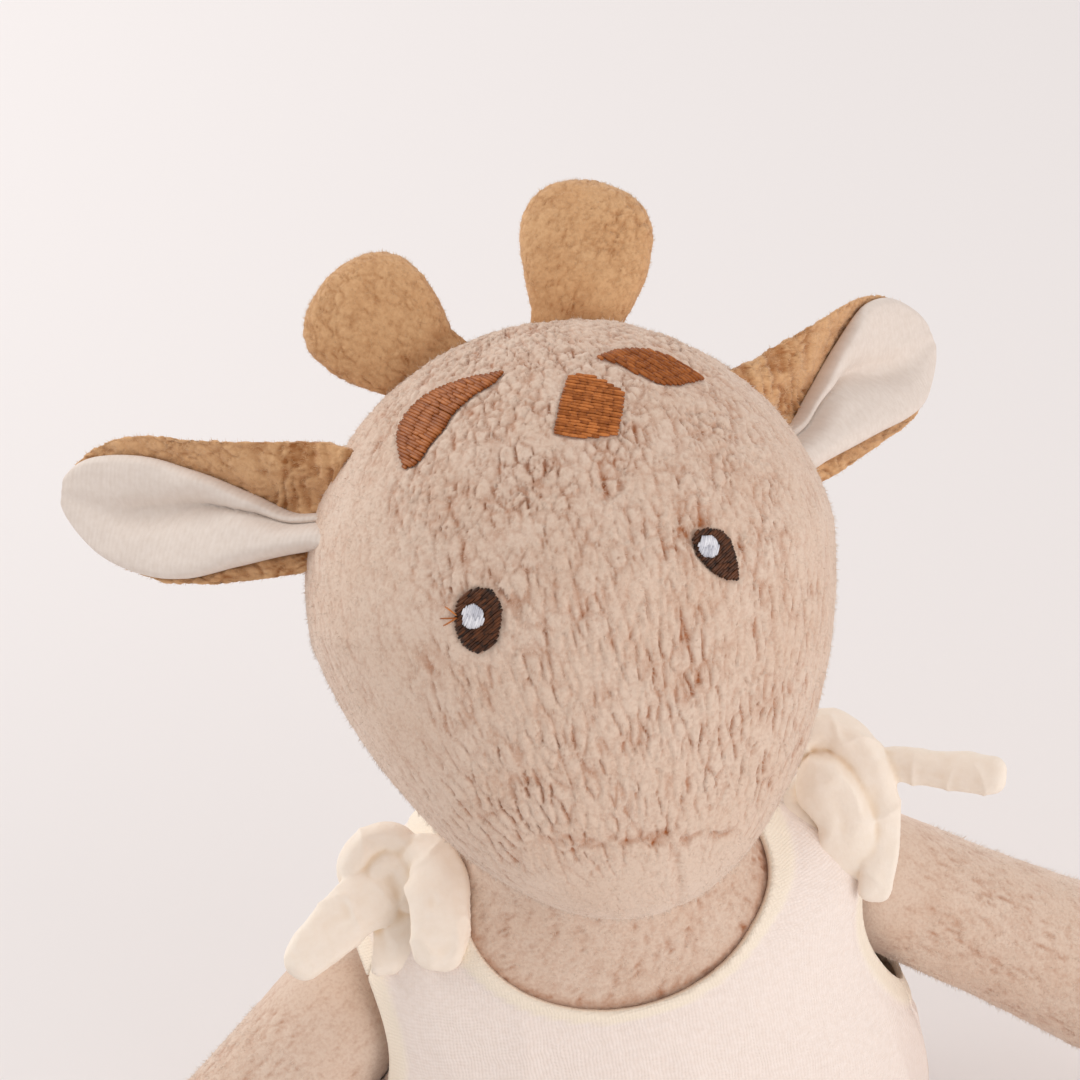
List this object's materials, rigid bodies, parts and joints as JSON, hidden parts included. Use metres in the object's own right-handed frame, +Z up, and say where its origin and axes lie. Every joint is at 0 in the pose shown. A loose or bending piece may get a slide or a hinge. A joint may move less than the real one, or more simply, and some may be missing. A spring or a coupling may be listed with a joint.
{
  "type": "plush giraffe",
  "caption": "Sitting plush giraffe with an egg-shaped head, paddle ears and ossicones, stitched features, soft limbs and a shoulder-tied romper.",
  "frame": {"origin": "centre of the seat's flat face, where the toy sits on a surface", "axes": "+Z up out of the seat, -Y out of the face and chest, +X to the toy's own left"},
  "size_m": [0.2244, 0.162, 0.1958],
  "materials": {
    "plush": "short nubby pile, beige",
    "tan_plush": "short pile, tan",
    "ear_lining": "smooth brushed cotton, off-white",
    "gauze": "double gauze cotton, cream",
    "brown_thread": "satin stitch thread, chestnut",
    "dark_thread": "satin stitch thread, dark brown",
    "white_thread": "satin stitch thread, white",
    "filling": "loose polyester fibre"
  },
  "bodies": {
    "torso": {"torso_cover": "plush", "torso_filling": "filling", "romper_front": "gauze", "romper_back": "gauze", "left_shoulder_knot": "gauze", "right_shoulder_knot": "gauze"},
    "head": {"head_cover": "plush", "head_filling": "filling", "forehead_patch_centre": "brown_thread", "forehead_patch_left": "brown_thread", "forehead_patch_right": "brown_thread", "left_eye": "dark_thread", "right_eye": "dark_thread", "left_eye_highlight": "white_thread", "right_eye_highlight": "white_thread"},
    "left_ear": {"left_ear_back": "tan_plush", "left_ear_lining": "ear_lining"},
    "right_ear": {"right_ear_back": "tan_plush", "right_ear_lining": "ear_lining"},
    "left_ossicone": {"left_ossicone": "tan_plush"},
    "right_ossicone": {"right_ossicone": "tan_plush"},
    "left_arm": {"left_arm_cover": "plush", "left_arm_filling": "filling"},
    "right_arm": {"right_arm_cover": "plush", "right_arm_filling": "filling"},
    "left_leg": {"left_leg_cover": "plush", "left_leg_filling": "filling"},
    "right_leg": {"right_leg_cover": "plush", "right_leg_filling": "filling"}
  },
  "joints": [
    {"name": "neck_nod", "type": "hinge", "parent": "torso", "child": "head", "pos_m": [0, 0.00797, 0.107], "axis": [1, 0, 0], "range_deg": [-15, 15]},
    {"name": "left_shoulder", "type": "hinge", "parent": "torso", "child": "left_arm", "pos_m": [0.0475, 0.01006, 0.066], "axis": [1, 0, 0], "range_deg": [-130, 60]},
    {"name": "right_shoulder", "type": "hinge", "parent": "torso", "child": "right_arm", "pos_m": [-0.0475, 0.01006, 0.066], "axis": [1, 0, 0], "range_deg": [-130, 60]},
    {"name": "left_hip", "type": "hinge", "parent": "torso", "child": "left_leg", "pos_m": [0.0245, -0.027, 0.0145], "axis": [0.9511, 0.309, 0], "range_deg": [-24, 80]},
    {"name": "right_hip", "type": "hinge", "parent": "torso", "child": "right_leg", "pos_m": [-0.0245, -0.027, 0.0145], "axis": [0.9511, -0.309, 0], "range_deg": [-24, 80]},
    {"name": "left_ear_fold", "type": "hinge", "parent": "head", "child": "left_ear", "pos_m": [0.03688, 0.01708, 0.1665], "axis": [-0.1249, 0.5628, 0.8171], "range_deg": [-15, 20], "stiffness_Nm_per_rad": 0.01},
    {"name": "right_ear_fold", "type": "hinge", "parent": "head", "child": "right_ear", "pos_m": [-0.03688, 0.01708, 0.1665], "axis": [-0.29, -0.4652, -0.8363], "range_deg": [-18, 25], "stiffness_Nm_per_rad": 0.01},
    {"name": "left_ossicone_bend", "type": "hinge", "parent": "head", "child": "left_ossicone", "pos_m": [0.0105, 0.03048, 0.18248], "axis": [0.9272, -0.2408, -0.287], "range_deg": [-18, 18], "stiffness_Nm_per_rad": 0.02},
    {"name": "right_ossicone_bend", "type": "hinge", "parent": "head", "child": "right_ossicone", "pos_m": [-0.0144, 0.02968, 0.18152], "axis": [0.8387, 0.3501, 0.4172], "range_deg": [-18, 18], "stiffness_Nm_per_rad": 0.02}
  ]
}
